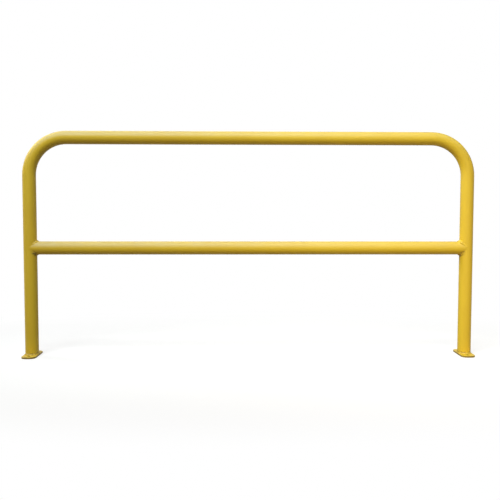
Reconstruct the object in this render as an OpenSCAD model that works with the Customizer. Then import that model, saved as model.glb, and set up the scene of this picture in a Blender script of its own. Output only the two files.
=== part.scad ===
// Tubular steel safety barrier: a bent hoop with a mid rail, welded to two bolt-down base plates.
// Origin at floor level, centred between the posts. X runs along the barrier, Y from the viewed
// side to the far side, Z up.

/* [Barrier] */
// Distance between the centre lines of the two posts
post_centres = 2000; // [1000:50:3000]
// Height of the top rail's centre line above the floor
top_rail_h = 996; // [900:2:1200]
// Height of the mid rail's centre line above the floor
mid_rail_h = 496; // [300:2:600]
// Radius of the two top bends, on the tube's centre line
bend_r = 170; // [120:5:220]

/* [Tube] */
// Outside diameter of the hoop's tube
tube_od = 60.3; // [60.3:0.1:76.1]
// Outside diameter of the mid rail, no larger than the hoop's tube
rail_od = 60.3; // [33.7:0.1:60.3]
// Wall thickness of both tubes
tube_wall = 3.2; // [2:0.1:5]
// How far the mid rail's ends stop short of each post's axis, which trims the cope's feather edge
feather_trim = 4; // [3:0.5:8]

/* [Base plates] */
// Margin of the plate past the tube on its narrow sides
plate_margin = 1.85; // [1.5:0.05:12]
// Length of each plate, across the barrier
plate_l = 160; // [160:5:260]
// Thickness of each plate
plate_t = 8; // [5:1:15]
// Radius of the plate's four corners, seen from above
plate_corner_r = 25; // [5:1:30]
// Rounding of the plate's top edge
plate_edge_r = 0.8; // [0.4:0.1:1.2]
// Diameter of the bolt holes
bolt_hole_d = 14; // [11:1:16]
// Distance from a bolt hole's centre to the end of its plate
bolt_edge = 25; // [20:0.5:27]

/* [Welds] */
// Leg of the fillet weld around the foot of each post
foot_weld = 6; // [4:0.5:8]
// Radius of the weld bead around each end of the mid rail
rail_weld = 6; // [4:0.5:8]
// Share of the bead's radius that sinks into the tubes where their sides run flush
flush_sink = 0.65; // [0.4:0.05:0.75]

/* [Hidden] */

// Smoothness of curved surfaces: the largest turn in degrees and the smallest length of a facet
$fa = 3;
$fs = 0.3;

tube_r = tube_od / 2;
rail_r = rail_od / 2;
half_span = post_centres / 2;
bend_start_h = top_rail_h - bend_r;
plate_w = tube_od + 2 * plate_margin;
bolt_pitch = plate_l - 2 * bolt_edge;
bead_stations = 72;
bead_sides = 12;
cut_over = 20;
yellow = [0.96, 0.77, 0.10];
weld_yellow = [0.90, 0.70, 0.08];

// Cross-section of a hollow tube
module tube_section(od) {
    difference() {
        circle(d = od);
        circle(d = od - 2 * tube_wall);
    }
}

// Half of a section through the plate, from its middle to its edge: flat under, rounded top corner
module plate_profile(half) {
    square([half, plate_t - plate_edge_r]);
    square([half - plate_edge_r, plate_t]);
    translate([half - plate_edge_r, plate_t - plate_edge_r]) circle(r = plate_edge_r);
}

// Straight bar of the plate's section, centred, with its length on Y
module plate_bar(width, length) {
    rotate([90, 0, 0])
        linear_extrude(height = length, center = true)
            union() {
                plate_profile(width / 2);
                mirror([1, 0]) plate_profile(width / 2);
            }
}

// Plate without its holes: two crossed bars, with a quarter turn of the same section in each corner
module plate_blank() {
    inner_w = plate_w - 2 * plate_corner_r;
    inner_l = plate_l - 2 * plate_corner_r;
    plate_bar(plate_w, inner_l);
    rotate([0, 0, 90]) plate_bar(plate_l, inner_w);
    for (x = [0, 1], y = [0, 1])
        mirror([x, 0, 0])
            mirror([0, y, 0])
                translate([inner_w / 2, inner_l / 2, 0])
                    rotate_extrude(angle = 90) plate_profile(plate_corner_r);
}

// Base plate with two bolt holes, centred under its post
module base_plate() {
    difference() {
        plate_blank();
        for (s = [-1, 1])
            translate([0, s * bolt_pitch / 2, -1])
                cylinder(d = bolt_hole_d, h = plate_t + 2);
    }
}

// Room that the plate's narrow sides leave for weld: it leans in at 45 degrees from their flat
module weld_room() {
    flat = plate_w / 2 - plate_edge_r;
    rotate([90, 0, 0])
        linear_extrude(height = plate_l, center = true)
            polygon([[-flat, 0], [flat, 0], [flat - foot_weld, foot_weld], [foot_weld - flat, foot_weld]]);
}

// Fillet weld between a post and its plate: a convex quarter-round bead,
// small on the narrow sides, where the plate is hardly wider than the tube
module foot_weld_bead() {
    translate([0, 0, plate_t])
        intersection() {
            rotate_extrude()
                translate([tube_r, 0])
                    intersection() {
                        circle(r = foot_weld);
                        square(foot_weld);
                    }
            weld_room();
        }
}

// Centre of the bead's round section at an angle round the rail, as distances along the rail
// from the post's axis and out from the rail's axis. At the top and bottom the tubes meet at a
// right angle and the bead sits in the corner. At the sides they run flush and it sinks in.
function flush(a) = rail_od / tube_od * pow(sin(a), 2);
function bead_along(a) = sqrt(pow(tube_r, 2) - pow(rail_r * sin(a), 2) + pow(feather_trim, 2));
function bead_out(a) = rail_r - rail_weld * flush_sink * flush(a);

// A point of the bead: station angle a round the rail, section angle b round the bead
function bead_point(a, b) =
    let (out = bead_out(a) + rail_weld * sin(b))
    [bead_along(a) + rail_weld * cos(b), out * sin(a), out * cos(a)];

// Closed ring of weld that follows the saddle line between a post and the mid rail
module saddle_ring() {
    n = bead_stations;
    m = bead_sides;
    points = [for (i = [0 : n - 1], j = [0 : m - 1]) bead_point(i * 360 / n, j * 360 / m)];
    faces = [for (i = [0 : n - 1], j = [0 : m - 1], k = [0, 1])
        let (a = i * m + j, b = i * m + (j + 1) % m,
             c = (i + 1) % n * m + (j + 1) % m, d = (i + 1) % n * m + j)
        k == 0 ? [a, b, c] : [a, c, d]];
    polyhedron(points = points, faces = faces);
}

// Weld bead on the saddle joint, cut so that it seats exactly on both tubes
module rail_weld_bead() {
    reach = tube_r + rail_weld + cut_over;
    translate([-half_span, 0, mid_rail_h])
        difference() {
            saddle_ring();
            translate([0, 0, -reach]) cylinder(r = tube_r, h = 2 * reach);
            translate([feather_trim, 0, 0])
                rotate([0, 90, 0]) cylinder(r = rail_r, h = reach);
        }
}

// One length of tube, bent through two right angles and standing on the plates
module hoop_tube() {
    color(yellow) {
        for (s = [0, 1])
            mirror([s, 0, 0]) {
                translate([half_span, 0, plate_t])
                    linear_extrude(height = bend_start_h - plate_t) tube_section(tube_od);
                translate([half_span - bend_r, 0, bend_start_h])
                    rotate([90, 0, 0])
                        rotate_extrude(angle = 90)
                            translate([bend_r, 0]) tube_section(tube_od);
            }
        translate([0, 0, top_rail_h])
            rotate([0, 90, 0])
                linear_extrude(height = post_centres - 2 * bend_r, center = true)
                    tube_section(tube_od);
    }
}

// Straight tube between the posts, coped at both ends to fit round them
module mid_rail() {
    color(yellow)
        translate([0, 0, mid_rail_h])
            difference() {
                rotate([0, 90, 0])
                    linear_extrude(height = post_centres - 2 * feather_trim, center = true)
                        tube_section(rail_od);
                for (s = [-1, 1])
                    translate([s * half_span, 0, -rail_od])
                        cylinder(d = tube_od, h = 2 * rail_od);
            }
}

module left_base_plate() {
    color(yellow) translate([-half_span, 0, 0]) base_plate();
}

module right_base_plate() {
    mirror([1, 0, 0]) left_base_plate();
}

module left_foot_weld() {
    color(weld_yellow) translate([-half_span, 0, 0]) foot_weld_bead();
}

module right_foot_weld() {
    mirror([1, 0, 0]) left_foot_weld();
}

module left_rail_weld() {
    color(weld_yellow) rail_weld_bead();
}

module right_rail_weld() {
    mirror([1, 0, 0]) left_rail_weld();
}

hoop_tube();
mid_rail();
left_base_plate();
right_base_plate();
left_foot_weld();
right_foot_weld();
left_rail_weld();
right_rail_weld();
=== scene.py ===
# %% [markdown]
# # A yellow tubular safety barrier
#
# This is a lesson in dressing a welded steel product. The real thing is a hoop of 60 mm tube with
# a mid rail, welded to two small base plates, blasted and sprayed with yellow powder that is baked
# to a hard, even film. The shape is simple, so the likeness rests on three things: the soft
# semi-gloss of the coat, the rippled welds that show through it, and the light.
#
# The finished parts come in as a fixed frame, in metres. Tubes and plates keep their own meshes
# and only get a finish. The four welds are modelled again here, with the ripples of a real bead.

# %% Load the frame
import math

import bmesh
import bpy
from mathutils import Matrix, Vector, noise


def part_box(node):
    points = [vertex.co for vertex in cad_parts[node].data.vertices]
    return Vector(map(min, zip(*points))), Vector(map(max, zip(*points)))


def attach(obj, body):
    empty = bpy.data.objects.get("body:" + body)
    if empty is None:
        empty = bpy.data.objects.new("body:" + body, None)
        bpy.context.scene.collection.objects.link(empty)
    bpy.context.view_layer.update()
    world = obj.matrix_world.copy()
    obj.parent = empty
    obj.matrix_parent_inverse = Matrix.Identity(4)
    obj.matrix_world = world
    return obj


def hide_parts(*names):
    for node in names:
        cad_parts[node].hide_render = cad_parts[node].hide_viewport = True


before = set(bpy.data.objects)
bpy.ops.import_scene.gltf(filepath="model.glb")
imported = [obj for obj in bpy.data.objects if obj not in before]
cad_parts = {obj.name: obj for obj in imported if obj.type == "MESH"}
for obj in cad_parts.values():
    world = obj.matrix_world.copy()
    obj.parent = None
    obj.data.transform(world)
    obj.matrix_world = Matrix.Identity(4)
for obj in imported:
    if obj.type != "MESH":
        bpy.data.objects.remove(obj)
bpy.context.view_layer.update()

# %% [markdown]
# ## Reading sizes off the parts
#
# A weld has to sit exactly where two parts meet. So the sizes that it needs aren't typed in a
# second time: they are read off the boxes of the parts. If the tube or the plate changes, the
# welds follow.

# %% Sizes from the parts
hoop_low, hoop_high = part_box("hoop_tube")
rail_low, rail_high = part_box("mid_rail")
plate_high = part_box("left_base_plate")[1]
foot_weld_low, foot_weld_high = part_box("left_foot_weld")
rail_weld_low, rail_weld_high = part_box("left_rail_weld")

tube_r = (hoop_high.y - hoop_low.y) / 2
rail_r = (rail_high.z - rail_low.z) / 2
rail_z = (rail_high.z + rail_low.z) / 2
post_x = hoop_high.x - tube_r
plate_top = plate_high.z
foot_leg = foot_weld_high.z - foot_weld_low.z
foot_half_width = (foot_weld_high.x - foot_weld_low.x) / 2
bead_r = (rail_weld_high.z - rail_weld_low.z) / 2 - rail_r
feather_trim = rail_low.x + post_x
print(f"tube radius {tube_r:.5f}, rail radius {rail_r:.5f} at height {rail_z:.4f}, posts at {post_x:.4f}")
print(f"foot weld leg {foot_leg:.4f}, rail bead radius {bead_r:.4f}, feather trim {feather_trim:.4f}")

# %% [markdown]
# ## The camera
#
# The product photograph was taken from about table height, a little over three metres back and a
# touch left of centre, looking slightly down. A camera is a place, three turns and a lens. The turns
# are given as pitch, roll and yaw, as on a tripod head.

# %% The camera
CAMERA_PLACE = (-0.073, -3.245, 0.689)
CAMERA_PITCH = -3.57
CAMERA_ROLL = 0.08
CAMERA_YAW = 1.31
CAMERA_LENS = 51.0
CAMERA_SENSOR = 36.0

camera_data = bpy.data.cameras.new("camera")
camera_data.lens = CAMERA_LENS
camera_data.sensor_width = CAMERA_SENSOR
camera = bpy.data.objects.new("camera", camera_data)
camera.location = CAMERA_PLACE
camera.rotation_euler = (
    math.radians(90 + CAMERA_PITCH),
    math.radians(-CAMERA_ROLL),
    math.radians(-CAMERA_YAW),
)
bpy.context.scene.collection.objects.link(camera)
bpy.context.scene.camera = camera
print("camera at", CAMERA_PLACE, "with a", CAMERA_LENS, "mm lens")

# %% [markdown]
# ## Shader sums in Python
#
# A procedural finish is arithmetic on patterns. Wiring Math nodes by hand hides that arithmetic,
# so this small class wraps one output socket and lets Python's own operators add the nodes. Writing
# `1 - 0.2 * grain` then makes exactly the nodes that it says. Every other node comes from one
# method, which takes the node's type, its settings, and the values or wires of its sockets.

# %% A wire of a shader
class Wire:
    """One output socket of a shader, for use in Python sums."""

    def __init__(self, tree, socket):
        self.tree = tree
        self.socket = socket

    def node(self, kind, settings, sockets, output=0):
        """A new node of the same shader, as a wire from one of its outputs."""
        new = self.tree.nodes.new(kind)
        for name, value in settings.items():
            setattr(new, name, value)
        for key, value in sockets.items():
            if isinstance(value, Wire):
                self.tree.links.new(value.socket, new.inputs[key])
            else:
                new.inputs[key].default_value = value
        return Wire(self.tree, new.outputs[output])

    def math(self, operation, *others):
        """A Math node of this wire and then the others."""
        sockets = dict(enumerate((self, *others)))
        return self.node("ShaderNodeMath", {"operation": operation}, sockets)

    def __add__(self, other):
        return self.math("ADD", other)

    __radd__ = __add__

    def __sub__(self, other):
        return self.math("SUBTRACT", other)

    def __rsub__(self, other):
        return self.node("ShaderNodeMath", {"operation": "SUBTRACT"}, {0: other, 1: self})

    def __mul__(self, other):
        return self.math("MULTIPLY", other)

    __rmul__ = __mul__


print("shader sums are ready")

# %% [markdown]
# ## Patterns that every finish uses
#
# Two patterns cover the whole barrier. Noise gives clouds at any size, from the slow drift of a
# coat's thickness to the fine dimples of its skin. A soft step picks out part of a pattern, such
# as only its highest clouds. Two more helpers measure distances, for dirt that gathers at a seam,
# and the last one lays one colour over another.

# %% Clouds, steps, distances and colours
def clouds(place, size, detail=2.0, roughness=0.5):
    """Noise whose blobs are about this many metres across, from 0 to 1."""
    sockets = {"Vector": place, "Scale": 1 / size, "Detail": detail, "Roughness": roughness}
    return place.node("ShaderNodeTexNoise", {}, sockets)


def soft_step(wire, zero_at, one_at):
    """0 on the far side of zero_at, 1 on the far side of one_at, and smooth between them."""
    sockets = {"Value": wire, "From Min": zero_at, "From Max": one_at}
    return wire.node("ShaderNodeMapRange", {"interpolation_type": "SMOOTHSTEP"}, sockets)


def axis_part(wire, axis):
    """One coordinate of a place or direction."""
    return wire.node("ShaderNodeSeparateXYZ", {}, {0: wire}, output="XYZ".index(axis))


def long_side(first, second):
    """Length of the long side of a right triangle, from its two short ones."""
    squares = first * first + second * second
    return squares.math("SQRT")


def blend_colours(factor, first, second):
    """The first colour where factor is 0 and the second where it is 1."""
    settings = {"data_type": "RGBA"}
    sockets = {"Factor": factor, 6: first, 7: second}
    return factor.node("ShaderNodeMix", settings, sockets, output=2)


print("patterns are ready")

# %% [markdown]
# ## The powder coat
#
# Powder coat is a thick plastic film. It is baked from grains, so it never flows out quite flat:
# its skin has shallow dimples a few millimetres apart, called orange peel, which break up the
# edges of each reflection. Its gloss drifts a little from place to place, and its yellow is a
# shade deeper where the film is thick. The steel itself doesn't show, so the finish isn't metallic.
#
# A pale sheen is painted into the coat's colour on the faces that look up: a painted reflection of
# the sky, and the coat is a little rougher there. It is painted on level lengths of tube and fades
# out where the bends slope. On this barrier it is strongest at the left end. Which way a face looks
# is read from its normal, whose Z says how far it looks up and whose X how steeply the tube slopes.

# %% The painted sheen
SHEEN_LEAST = 0.14
SHEEN_MORE_AT_LEFT = 0.32
SHEEN_PATCH = 0.06
SHEEN_UNEVEN = 0.8
UP_ENOUGH = 0.5
SLOPE_NO_SHEEN = 0.6
SLOPE_LEVEL = 0.2


def painted_sky_sheen(place, normal):
    """How much pale sheen is painted on, from 0 to 1: most on faces that look up, and at the left end."""
    looks_up = soft_step(axis_part(normal, "Z"), 0.0, UP_ENOUGH)
    level = soft_step(axis_part(normal, "X").math("ABSOLUTE"), SLOPE_NO_SHEEN, SLOPE_LEVEL)
    left_end = soft_step(axis_part(place, "X"), post_x, -post_x)
    patches = clouds(place, SHEEN_PATCH, detail=4.0)
    amount = SHEEN_LEAST + SHEEN_MORE_AT_LEFT * left_end
    return looks_up * level * amount * (1 - SHEEN_UNEVEN / 2 + SHEEN_UNEVEN * patches)


# The painted sheen's largest amount, at the left end.
print("the bloom reaches about", round(SHEEN_LEAST + SHEEN_MORE_AT_LEFT, 2), "at the left end")

# %% [markdown]
# ## Painted shade at the seams
#
# Shade is painted into the coat's colour along the seams, darkest under the mid rail, where shade
# falls, and broken into specks. Where it lies comes from Object coordinates. A point of a post is as
# far from the rail's seam as it is from the rail's skin, and a point of the rail is as far from it
# as from the post's skin. On either tube the other distance is 0, so the larger of the two is the
# distance to the seam. The rail ends at the post's middle, so past it that distance counts instead.
# The shade falls in the corner between the tubes, and there is no corner where the walls run flush,
# so the painted shade fades towards the viewed and the far side. The foot's seam is measured in the
# same way, with the top of the plate in place of the rail. Where the painted shade under the rail
# starts and is full is given in rail radii above its middle.

# %% Painted shade at the seams
SEAM_SHARE = 0.70
SEAM_NEAR = 0.004
SEAM_FAR = 0.014
SEAM_SPECKS = (0.36, 0.58)
SEAM_LEAST_AT_TOP = 0.25
UNDER_RAIL_SHADE_START = 0.2
UNDER_RAIL_SHADE_FULL = -0.6
CORNER_FADE = 0.007
FOOT_SHARE = 0.7


def seam_shade(distance, specks):
    """Painted shade in specks that crowd together near a seam."""
    return SEAM_SHARE * soft_step(distance, SEAM_FAR, SEAM_NEAR) * soft_step(specks, *SEAM_SPECKS)


def shade_at_seams(place, specks):
    """How much shade is painted at the rail's seams and at the feet, from 0 to 1."""
    along = axis_part(place, "X")
    across = axis_part(place, "Y")
    height = axis_part(place, "Z")
    past_post = along.math("ABSOLUTE") - post_x
    from_post = long_side(past_post, across) - tube_r
    from_rail = long_side(height - rail_z, across) - rail_r
    rail_seam = from_rail.math("MAXIMUM", past_post).math("MAXIMUM", from_post)
    foot_seam = from_post.math("MAXIMUM", height - plate_top)

    corner = soft_step(tube_r - across.math("ABSOLUTE"), 0.0, CORNER_FADE)
    under_rail = soft_step(height, rail_z + UNDER_RAIL_SHADE_START * rail_r, rail_z + UNDER_RAIL_SHADE_FULL * rail_r)
    under_rail_shade = SEAM_LEAST_AT_TOP + (1 - SEAM_LEAST_AT_TOP) * under_rail
    at_rail = corner * under_rail_shade * seam_shade(rail_seam, specks)
    return at_rail + FOOT_SHARE * seam_shade(foot_seam, specks)


# The seams get painted shade up to this distance.
print("seams are dirty up to", SEAM_FAR * 1000, "mm away")

# %% [markdown]
# ## Low specks and shaded plate edges
#
# Faint darker specks are laid low on each post, and shade is painted on the edges and the undersides
# of the base plates, where shade falls. Both follow from a point's height, broken up by the same
# specks as the painted shade at the seams, so that all of it looks alike. The sum is capped, because
# some of the yellow always shows through.

# %% All the painted shade and specks
SPECK_SIZE = 0.007
LOW_SPECK_SHARE = 0.25
LOW_SPECK_HEIGHT = 0.060
LOW_SPECK_CLEARANCE = 0.004
LOW_SPECK_RANGE = (0.45, 0.65)
EDGE_SHARE = 0.95
EDGE_DEPTH = 0.0016
EDGE_LEAST = 0.4
EDGE_UNEVEN = 0.9
MOST_SHADE_AND_SPECKS = 0.90


def painted_shade_and_specks(place):
    """How much painted shade and darker specks the coat gets, from 0 to 1."""
    height = axis_part(place, "Z")
    specks = clouds(place, SPECK_SIZE, detail=5.0, roughness=0.6)
    on_post = soft_step(height, plate_top, plate_top + LOW_SPECK_CLEARANCE)
    low_specks = on_post * soft_step(height, LOW_SPECK_HEIGHT, 0.0) * soft_step(specks, *LOW_SPECK_RANGE)
    on_plate = soft_step(height, plate_top, plate_top - EDGE_DEPTH)
    plate_edge_shade = on_plate * (EDGE_LEAST + EDGE_UNEVEN * specks)
    shade_and_specks = LOW_SPECK_SHARE * low_specks + EDGE_SHARE * plate_edge_shade + shade_at_seams(place, specks)
    return shade_and_specks.math("MINIMUM", MOST_SHADE_AND_SPECKS)


# Darker specks reach this height up each post, fading upwards.
print("splashes reach", LOW_SPECK_HEIGHT * 1000, "mm up each post")

# %% [markdown]
# ## One function for the coat
#
# The tubes, the plates and the welds were sprayed in one go, so one function makes their coat. Its
# values say how the film differs on each: its dimples are deepest on a blasted plate, and over a
# weld they are finer and the film is shinier. The painted sheen is faint on the low plates and on
# the welds. Smudges make the gloss uneven, and the painted sheen, the painted shade and the darker
# specks make the coat rougher.

# %% The coat
COAT_YELLOW = (0.85, 0.595, 0.014, 1.0)
COAT_DEEP = (0.81, 0.545, 0.011, 1.0)
PAINTED_SHEEN_COLOUR = (0.80, 0.72, 0.43, 1.0)
SHADE_AND_SPECK_COLOUR = (0.18, 0.112, 0.02, 1.0)
COAT_SPECULAR = 0.8
COAT_IOR = 1.5
DEEP_PATCHES = (0.35, 0.70)
SMUDGE_SIZE = 0.045
SMUDGE_UNEVEN = 0.06
SHEEN_DULLS = 0.10
SHADE_AND_SPECKS_DULL = 0.20
PEEL_SHARE = 0.8
GRAIN_FINER = 4


def powder_coat(name, peel_size, peel_depth, roughness, drift_size, painted_sheen):
    """A semi-gloss yellow coat. Sizes are in metres, and roughness is the clean film's mean."""
    material = bpy.data.materials.new(name)
    material.use_nodes = True
    tree = material.node_tree
    surface = tree.nodes["Principled BSDF"]
    surface.inputs["IOR"].default_value = COAT_IOR
    surface.inputs["Specular IOR Level"].default_value = COAT_SPECULAR
    coordinates = tree.nodes.new("ShaderNodeTexCoord")
    place = Wire(tree, coordinates.outputs["Object"])
    normal = Wire(tree, coordinates.outputs["Normal"])

    drift = clouds(place, drift_size, detail=3.0)
    fresh = blend_colours(soft_step(drift, *DEEP_PATCHES), COAT_YELLOW, COAT_DEEP)
    # A pale sheen is painted on the faces that look up, standing in for the sky's reflection.
    sheen_amount = painted_sheen * painted_sky_sheen(place, normal)
    # Shade is painted at the seams and on the plates' edges, with darker specks low on each post.
    shade_and_specks = painted_shade_and_specks(place)
    colour = blend_colours(shade_and_specks, blend_colours(sheen_amount, fresh, PAINTED_SHEEN_COLOUR), SHADE_AND_SPECK_COLOUR)
    tree.links.new(colour.socket, surface.inputs["Base Color"])

    smudge = clouds(place, SMUDGE_SIZE, detail=4.0)
    clean = roughness - SMUDGE_UNEVEN / 2 + SMUDGE_UNEVEN * smudge
    dulled = clean + SHEEN_DULLS * sheen_amount + SHADE_AND_SPECKS_DULL * shade_and_specks
    tree.links.new(dulled.socket, surface.inputs["Roughness"])

    peel = clouds(place, peel_size, detail=1.5)
    grain = clouds(place, peel_size / GRAIN_FINER, detail=1.0)
    relief = PEEL_SHARE * peel + (1 - PEEL_SHARE) * grain
    sockets = {"Height": relief, "Distance": peel_depth, "Strength": 1.0}
    bump = place.node("ShaderNodeBump", {}, sockets)
    tree.links.new(bump.socket, surface.inputs["Normal"])
    return material


tube_coat = powder_coat("tube_coat", 0.0035, 0.000025, roughness=0.57, drift_size=0.25, painted_sheen=1.0)
plate_coat = powder_coat("plate_coat", 0.0030, 0.000040, roughness=0.52, drift_size=0.08, painted_sheen=0.2)
weld_coat = powder_coat("weld_coat", 0.0025, 0.000025, roughness=0.46, drift_size=0.03, painted_sheen=0.3)
print("coats made:", tube_coat.name, plate_coat.name, weld_coat.name)

# %% [markdown]
# ## Dressing the tubes and plates
#
# The hoop, the mid rail and the base plates are already the right shape, so their meshes stay as
# they are. Only what fills their material slots changes.

# %% Dress the tubes and plates
COATED_PARTS = {
    "hoop_tube": tube_coat,
    "mid_rail": tube_coat,
    "left_base_plate": plate_coat,
    "right_base_plate": plate_coat,
}
for part_name, coat in COATED_PARTS.items():
    for material_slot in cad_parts[part_name].material_slots:
        material_slot.material = coat
    print(part_name, "wears", coat.name)

# %% [markdown]
# ## How a weld bead gets its ripples
#
# A welder lays metal in small puddles that overlap like fallen coins. Each puddle freezes as a
# crescent that bows back along the bead, so the bead swells and shrinks every few millimetres.
# Its size also wanders with the welder's hand, in lumps about as long as the bead is wide, and
# spatter leaves small knobs on it. These functions give what each adds, as a share of the bead's
# nominal size. The ripples' own mean is taken off them, so that they don't make the bead thicker. A
# sum of sines would repeat, so lumps and knobs are noise, which is the same on each run.

# %% The ripples
RIPPLE_PITCH = 0.0034
RIPPLE_SHARE = 0.07
RIPPLE_BOW = 0.45
RIPPLE_MEAN = 0.64
LUMP_SIZE = 0.0070
LUMP_SHARE = 0.40
KNOB_SIZE = 0.0050
KNOB_SHARE = 0.14


def ripple(distance, closing_length, across):
    """Share that the crescents add. Across is -1 and 1 at the bead's edges and 0 on its crest."""
    count = max(1, round(closing_length / RIPPLE_PITCH))
    phase = distance / closing_length * count + RIPPLE_BOW * across**2
    return RIPPLE_SHARE * (abs(math.sin(math.pi * phase)) - RIPPLE_MEAN)


def lumps(distance, closing_length, seed):
    """Share that the welder's hand adds, the same where the closed run meets itself."""
    turn = 2 * math.pi * distance / closing_length
    reach = closing_length / (2 * math.pi * LUMP_SIZE)
    spot = Vector((reach * math.cos(turn), reach * math.sin(turn), seed))
    return LUMP_SHARE * noise.noise(spot)


def knobs(point, seed):
    """Share that spatter adds at a point of the bead."""
    return KNOB_SHARE * noise.noise(point / KNOB_SIZE + Vector((seed, 0, 0)))


print("ripples every", RIPPLE_PITCH * 1000, "mm, lumps of", LUMP_SIZE * 1000, "mm")

# %% [markdown]
# ## The face of a fillet
#
# In a square corner, weld metal doesn't lie as a round rope. Its face runs from one wall to the
# other, a little convex, and flows out at its edges, which are called toes. The first function
# gives the distance from the corner to that face as a share of the weld's leg, for a direction
# between the two walls. With a bulge of 0 the face would be flat, and with 1 it would be a quarter
# round. The second says how far across the face a direction points, which the ripples need.

# %% The fillet's face
FACE_BULGE = 0.5
FACE_MIDDLE = math.pi / 4


def fillet_face(direction):
    """Distance to the weld's face, in legs, at an angle from one of the corner's walls."""
    flat = 1 / (abs(math.cos(direction)) + abs(math.sin(direction)))
    return flat + FACE_BULGE * (1 - flat)


def way_across(direction):
    """-1 and 1 at the two toes of the face, and 0 in its middle."""
    return direction / FACE_MIDDLE - 1


print("the throat is", round(fillet_face(FACE_MIDDLE), 3), "of the leg")

# %% [markdown]
# ## A ring to shape each weld from
#
# Every weld here runs round a tube and meets itself, so every one starts as a ring: a circle spun
# once round the tube's axis, which is a shape that one operator makes. The points of the ring are
# then moved. A point's angle round the axis tells how far along the weld it lies.

# %% The ring
X_AXIS = Vector((1, 0, 0))
Z_AXIS = Vector((0, 0, 1))


def spun_ring(ring_r, section_r, axis, outward, stations, sides):
    """A ring of round section about an axis. Outward points to where the spin starts."""
    bm = bmesh.new()
    section = bmesh.ops.create_circle(bm, segments=sides, radius=section_r)["verts"]
    upright = Matrix.Rotation(math.pi / 2, 3, "X")
    bmesh.ops.rotate(bm, verts=section, matrix=upright)
    bmesh.ops.translate(bm, verts=section, vec=ring_r * outward)
    bmesh.ops.spin(
        bm,
        geom=list(bm.verts) + list(bm.edges),
        cent=(0, 0, 0),
        axis=axis,
        angle=2 * math.pi,
        steps=stations,
        use_merge=True,
    )
    return bm


def way_round(angle, closing_length):
    """How far along a closed weld a point lies, from its angle round the axis."""
    return (angle / (2 * math.pi)) % 1.0 * closing_length


print("a quarter turn is", round(way_round(math.pi / 2, 1.0), 2), "of a weld")

# %% [markdown]
# ## From a ring to a weld of the barrier
#
# Each weld gets the same handling: its normals are made to face outwards, it is smoothed and coated,
# and then it is attached to the barrier's root, and the plain part that it stands for is hidden.

# %% Finish a weld
def finish_weld(bm, stands_for):
    """Turn a bmesh into an object of the barrier that stands for one plain weld."""
    bmesh.ops.recalc_face_normals(bm, faces=bm.faces)
    for face in bm.faces:
        face.smooth = True
    name = f"{stands_for}_bead"
    mesh = bpy.data.meshes.new(name)
    bm.to_mesh(mesh)
    bm.free()
    mesh.materials.append(weld_coat)
    piece = bpy.data.objects.new(name, mesh)
    bpy.context.scene.collection.objects.link(piece)
    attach(piece, "root")
    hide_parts(stands_for)
    print(name, "has", len(mesh.polygons), "faces")


print("each weld wears", weld_coat.name)

# %% [markdown]
# ## The saddle line
#
# Where the rail meets a post, the seam isn't a flat circle: it dips round the post like a saddle.
# How deep it dips at each angle follows from the post's round section. The thin feather edges of
# the rail's coped end are trimmed off, which keeps the seam a little way out at the sides. Its
# length, which the ripples need, is the sum of many short steps.

# %% The saddle line
SADDLE_STEPS = 720


def saddle_along(angle):
    """How far from the post's axis the seam lies, at an angle round the rail from its top."""
    side = rail_r * math.sin(angle)
    return math.sqrt(max(0.0, tube_r**2 - side**2) + feather_trim**2)


def saddle_length():
    """Length of the seam, once round."""
    total = 0.0
    for step in range(SADDLE_STEPS):
        first = 2 * math.pi * step / SADDLE_STEPS
        second = 2 * math.pi * (step + 1) / SADDLE_STEPS
        rise = saddle_along(second) - saddle_along(first)
        total += math.hypot(rise, rail_r * (second - first))
    return total


print("the saddle line is", round(saddle_length() * 1000, 1), "mm long")

# %% [markdown]
# ## Seats and shoulders
#
# A weld melts into both tubes, but not deeply. A point of the bead that would sink further than its
# seat is brought back towards the tube's skin, first out of the rail and then out of the post.
# Where the welder stopped and started again, the metal piled up into a heavy shoulder: a swelling
# that is highest at one angle and falls off smoothly. A higher power makes it narrower.

# %% Seats and shoulders
SEAT_DEPTH = 0.0012
SHOULDER_POWER = 3


def seat_on_tubes(along, side, up):
    """Keep a point of the bead from sinking deeper than the weld's seat in either tube."""
    out = math.hypot(side, up)
    low = rail_r - SEAT_DEPTH
    if along > feather_trim and out < low:
        side *= low / out
        up *= low / out
    reach = math.hypot(along, side)
    if reach < tube_r - SEAT_DEPTH:
        along *= (tube_r - SEAT_DEPTH) / reach
        side *= (tube_r - SEAT_DEPTH) / reach
    return along, side, up


def shoulder(angle, centre):
    """1 at one angle round the rail, in degrees from its top, and 0 from a quarter turn off."""
    return max(0.0, math.cos(angle - math.radians(centre))) ** SHOULDER_POWER


print("welds are seated", SEAT_DEPTH * 1000, "mm deep")

# %% [markdown]
# ## The welds round the mid rail's ends
#
# A ring about the rail's axis is slid along the rail, point by point, until it lies on the saddle
# line. At the top and bottom of the rail the two tubes meet at a right angle, and the bead sits in
# the corner with a fillet's face. At the sides their walls run flush, so the bead turns rounder,
# thins and sinks until only a low cap shows. It reaches further along the rail than up the post,
# so its leg along the rail is drawn out. Each weld lists its own shoulders: how much metal is piled
# up at which angles from the rail's top. The viewed side is at -90 degrees.

# %% The saddle welds
SADDLE_STATIONS = 600
SADDLE_SIDES = 28
BEAD_SHARE = 0.90
PLAIN_SIZE = 0.75
FLUSH_THIN = 0.30
FLUSH_SINK = 0.75
LEG_ALONG_RAIL = 1.5
LEFT_SHOULDERS = {-35: 0.5, -140: 0.4, 50: 0.3}
RIGHT_SHOULDERS = {-25: 0.3, -48: 0.8, 50: 0.3, 150: 0.3}


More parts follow.
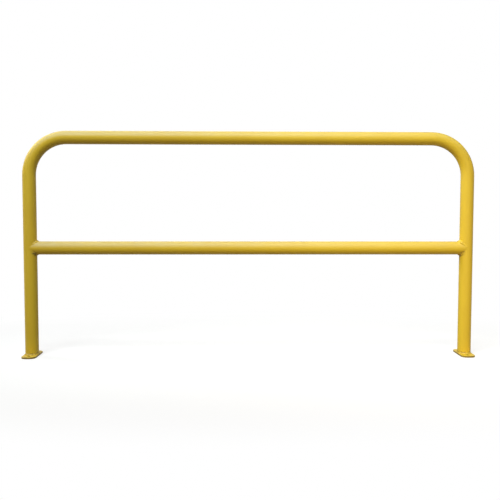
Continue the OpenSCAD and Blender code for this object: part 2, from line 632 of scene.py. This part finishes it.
def saddle_weld(stands_for, facing, shoulders, seed):
    """A ring of weld on the saddle line. Facing is 1 where the rail leaves along +X, else -1."""
    bead = BEAD_SHARE * bead_r
    bm = spun_ring(rail_r, bead, X_AXIS, Z_AXIS, SADDLE_STATIONS, SADDLE_SIDES)
    length = saddle_length()
    for vert in bm.verts:
        angle = math.atan2(vert.co.y, vert.co.z)
        distance = way_round(angle, length)
        rise = math.hypot(vert.co.y, vert.co.z) - rail_r
        direction = math.atan2(rise, vert.co.x)
        flush = rail_r / tube_r * math.sin(angle) ** 2
        face = 1 - (1 - flush) * (1 - fillet_face(direction))
        size = PLAIN_SIZE + lumps(distance, length, seed) + knobs(vert.co, seed)
        size += sum(share * shoulder(angle, centre) for centre, share in shoulders.items())
        ripples = ripple(distance, length, way_across(direction))
        size = (1 - FLUSH_THIN * flush) * (face * size + ripples)
        out = rail_r - bead * FLUSH_SINK * flush + size * rise
        along = saddle_along(angle) + LEG_ALONG_RAIL * size * vert.co.x
        along, side, up = seat_on_tubes(along, out * math.sin(angle), out * math.cos(angle))
        vert.co = (facing * (along - post_x), side, rail_z + up)
    finish_weld(bm, stands_for)


saddle_weld("left_rail_weld", 1, LEFT_SHOULDERS, seed=1.7)
saddle_weld("right_rail_weld", -1, RIGHT_SHOULDERS, seed=5.2)

# %% [markdown]
# ## The welds round the feet
#
# Each post stands on its plate inside a fillet weld. Its ring is spun round the post's axis. The
# plate is hardly wider than the tube, so on its two narrow sides there is room for only a thin
# run of metal, and the fillet shrinks there in both its legs. Where there is room enough, its
# share of the full leg levels off at 1, and a higher power makes that bend sharper.

# %% The foot welds
FOOT_STATIONS = 560
FOOT_SIDES = 28
LEVEL_POWER = 4
SMALLEST_COSINE = 1e-6


def weld_room(angle):
    """How far from the post's axis the plate has room for weld, at an angle round the post."""
    return foot_half_width / max(abs(math.cos(angle)), SMALLEST_COSINE)


def foot_share(angle):
    """How much of the fillet's full leg the plate has room for, at an angle round the post."""
    share = (weld_room(angle) - tube_r) / foot_leg
    return share / (1 + share**LEVEL_POWER) ** (1 / LEVEL_POWER)


def foot_weld(stands_for, centre_x, seed):
    """A fillet of weld round the foot of one post."""
    bm = spun_ring(tube_r, foot_leg, Z_AXIS, X_AXIS, FOOT_STATIONS, FOOT_SIDES)
    length = 2 * math.pi * (tube_r + foot_leg / 2)
    for vert in bm.verts:
        angle = math.atan2(vert.co.y, vert.co.x)
        distance = way_round(angle, length)
        rise = math.hypot(vert.co.x, vert.co.y) - tube_r
        direction = math.atan2(vert.co.z, rise)
        ripples = ripple(distance, length, way_across(direction))
        size = fillet_face(direction) * (1 + lumps(distance, length, seed) + knobs(vert.co, seed))
        size = foot_share(angle) * (size + ripples)
        out = max(tube_r + size * rise, tube_r - SEAT_DEPTH)
        out = min(out, weld_room(angle))
        up = max(size * vert.co.z, -SEAT_DEPTH)
        vert.co = (centre_x + out * math.cos(angle), out * math.sin(angle), plate_top + up)
    finish_weld(bm, stands_for)


foot_weld("left_foot_weld", -post_x, seed=2.9)
foot_weld("right_foot_weld", post_x, seed=8.4)

# %% [markdown]
# ## What the camera sees of the studio
#
# The photograph is a cut-out on pure white. White can't come from strong lamps, or the barrier
# would burn out too. The Light Path node solves this: it tells whether a ray comes from the camera,
# or is a reflection or a ray through something clear. Those rays see a white studio. Light that
# is on its way to the barrier sees a plainer one.

# %% Rays that see the white studio
def seen_rays(tree):
    """1 for camera, glossy and transmission rays, and 0 for the rays that light things."""
    path = tree.nodes.new("ShaderNodeLightPath")
    camera_rays = Wire(tree, path.outputs["Is Camera Ray"])
    glossy_rays = Wire(tree, path.outputs["Is Glossy Ray"])
    clear_rays = Wire(tree, path.outputs["Is Transmission Ray"])
    return camera_rays.math("MAXIMUM", glossy_rays.math("MAXIMUM", clear_rays))


print("the studio is white for rays that see it")

# %% [markdown]
# ## The floor
#
# The floor is one flat sheet that reaches far past the barrier on every side. It lies a hair below
# the plates, because two faces in one plane would show as specks.

# %% Lay the floor
FLOOR_REACH = 30.0
FLOOR_DROP = 0.0003

floor_bm = bmesh.new()
bmesh.ops.create_grid(floor_bm, x_segments=1, y_segments=1, size=FLOOR_REACH)
bmesh.ops.translate(floor_bm, verts=floor_bm.verts, vec=(0, 0, -FLOOR_DROP))
floor_mesh = bpy.data.meshes.new("floor")
floor_bm.to_mesh(floor_mesh)
floor_bm.free()
floor = bpy.data.objects.new("floor", floor_mesh)
bpy.context.scene.collection.objects.link(floor)
print("floor laid,", 2 * FLOOR_REACH, "m across")

# %% [markdown]
# ## A floor that is white and still takes a shadow
#
# The sheet is matt. For the rays that see it, it is pale and glows a little, so that it reaches
# white in the open and still darkens under the barrier. Further out it fades to an even white glow,
# so no horizon shows. The fade is an oval, squeezed so that it is longer along the barrier. Light
# that bounces off the floor on to the barrier comes from a darker, warmer sheet, as it would
# outdoors, which keeps the undersides of the tubes dark.

# %% The floor's finish
WHITE = (1.0, 1.0, 1.0, 1.0)
FLOOR_SEEN = (0.45, 0.45, 0.45, 1.0)
FLOOR_BOUNCE = (0.05, 0.03, 0.015, 1.0)
FLOOR_ROUGHNESS = 0.9
FLOOR_GLOW = 0.70
FADE_START = 0.7
FADE_END = 1.3
FADE_SQUEEZE = (0.5, 1.0, 1.0)

floor_material = bpy.data.materials.new("floor_white")
floor_material.use_nodes = True
floor_tree = floor_material.node_tree
floor_surface = floor_tree.nodes["Principled BSDF"]
floor_surface.inputs["Roughness"].default_value = FLOOR_ROUGHNESS
floor_surface.inputs["Specular IOR Level"].default_value = 0.0
seen = seen_rays(floor_tree)
floor_colour = blend_colours(seen, FLOOR_BOUNCE, FLOOR_SEEN)
floor_tree.links.new(floor_colour.socket, floor_surface.inputs["Base Color"])

floor_coordinates = floor_tree.nodes.new("ShaderNodeTexCoord")
spot = Wire(floor_tree, floor_coordinates.outputs["Object"])
squeezed = spot.node("ShaderNodeVectorMath", {"operation": "MULTIPLY"}, {0: spot, 1: FADE_SQUEEZE})
span = spot.node("ShaderNodeVectorMath", {"operation": "LENGTH"}, {0: squeezed}, output=1)
far = soft_step(span, FADE_START, FADE_END)
near_glow = spot.node("ShaderNodeEmission", {}, {"Color": WHITE, "Strength": FLOOR_GLOW * seen})
far_glow = spot.node("ShaderNodeEmission", {}, {"Color": WHITE, "Strength": seen})
matt = Wire(floor_tree, floor_surface.outputs["BSDF"])
near_floor = spot.node("ShaderNodeAddShader", {}, {0: matt, 1: near_glow})
whole_floor = spot.node("ShaderNodeMixShader", {}, {0: far * seen, 1: near_floor, 2: far_glow})
floor_tree.links.new(whole_floor.socket, floor_tree.nodes["Material Output"].inputs["Surface"])
floor_mesh.materials.append(floor_material)
print("the floor fades to white from", FADE_START, "to", FADE_END, "m out, and further lengthways")

# %% [markdown]
# ## The light
#
# In the photograph both posts are bright on their left and dark on their right, so the light comes
# from the left. Yet the right post is the brighter one. One broad lamp can't do both. Softboxes
# with a grid can: the grid narrows the beam, so that each box mostly lights the end that it is
# aimed at, and all but one of them are aimed at the right end. A box's size sets how soft its shadow
# is, and its place sets which side of each tube is bright. The boxes overhead are a little cool,
# like a sky, the one behind is plain, and the two low ones are warm, like light that comes up off
# the ground, which turns the undersides brown. The low one on the right is aimed at the foot,
# because the photograph's right post stays bright all the way down.

# %% The lamps
BOX_WIDTH = 1.4
BOX_HEIGHT = 1.0
GRID_ANGLE = 60.0
AIM_X = 0.9
AIM_Z = 0.6
AIM_Z_AT_FOOT = 0.1
PLAIN_LIGHT = (1.0, 1.0, 1.0)
COOL_LIGHT = (0.93, 1.0, 1.0)
WARM_LIGHT = (1.0, 0.78, 0.45)


def softbox(name, place, aim_x, power, colour=PLAIN_LIGHT, aim_z=AIM_Z):
    """A rectangular lamp with a grid, aimed at one end of the barrier."""
    data = bpy.data.lights.new(name, "AREA")
    data.shape = "RECTANGLE"
    data.size = BOX_WIDTH
    data.size_y = BOX_HEIGHT
    data.spread = math.radians(GRID_ANGLE)
    data.energy = power
    data.color = colour
    lamp = bpy.data.objects.new(name, data)
    lamp.location = place
    aim = Vector((aim_x, 0.0, aim_z)) - Vector(place)
    lamp.rotation_euler = aim.to_track_quat("-Z", "Y").to_euler()
    bpy.context.scene.collection.objects.link(lamp)
    print(name, "at", place, "with", power, "W")


softbox("over_right_end", (0.0, -1.5, 3.0), AIM_X, 7.5, COOL_LIGHT)
softbox("over_left_end", (-1.2, -1.5, 3.0), -AIM_X, 6.0, COOL_LIGHT)
softbox("behind_left", (-4.0, 1.5, 3.0), AIM_X, 10.0)
softbox("low_right", (1.2, -3.0, 1.1), AIM_X, 4.2, WARM_LIGHT, AIM_Z_AT_FOOT)
softbox("low_left", (-2.5, -3.0, 0.9), AIM_X, 3.1, WARM_LIGHT)

# %% [markdown]
# ## The sky all round
#
# The world fills in what the lamps leave. Rays that see it find plain white. The light that it
# sheds on the barrier is a much dimmer grey, so that it fills the shadows without washing them out.
# The Standard view shows each colour as it was written, with no film look laid over it.

# %% The world
WORLD_FILL = 0.21

world = bpy.data.worlds.new("sky")
bpy.context.scene.world = world
world.use_nodes = True
world_tree = world.node_tree
background = world_tree.nodes["Background"]
world_level = WORLD_FILL + (1.0 - WORLD_FILL) * seen_rays(world_tree)
background.inputs["Color"].default_value = WHITE
world_tree.links.new(world_level.socket, background.inputs["Strength"])

bpy.context.scene.view_settings.view_transform = "Standard"
print("world fill is", WORLD_FILL)
